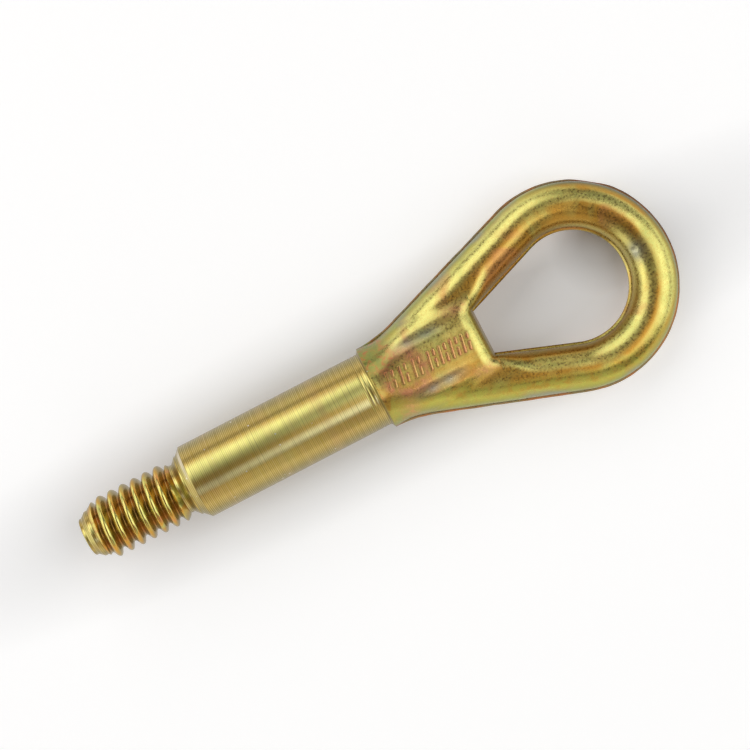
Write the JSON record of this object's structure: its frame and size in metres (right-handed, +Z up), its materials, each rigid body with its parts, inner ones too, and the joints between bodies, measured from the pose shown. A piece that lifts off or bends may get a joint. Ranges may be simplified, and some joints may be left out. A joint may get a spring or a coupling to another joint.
{
  "type": "tow eye",
  "caption": "Screw-in towing eye: a forged teardrop loop with a web pad and round neck, on a turned shank with a coarse left-hand round thread and a plain pilot.",
  "frame": {"origin": "On the surface that the eye lies on, under the middle of its length and width", "axes": "+X towards the loop's far end, along the eye as it lies; +Y across the loop; +Z up. The shank's own axis leans 3.389 degrees from X, with its thread end raised, because the eye rests on its neck and on the loop's far end."},
  "size_m": [0.1634, 0.0536, 0.0236],
  "materials": {
    "plated_steel": "satin"
  },
  "bodies": {
    "root": {"tow_eye": "plated_steel"}
  },
  "joints": []
}
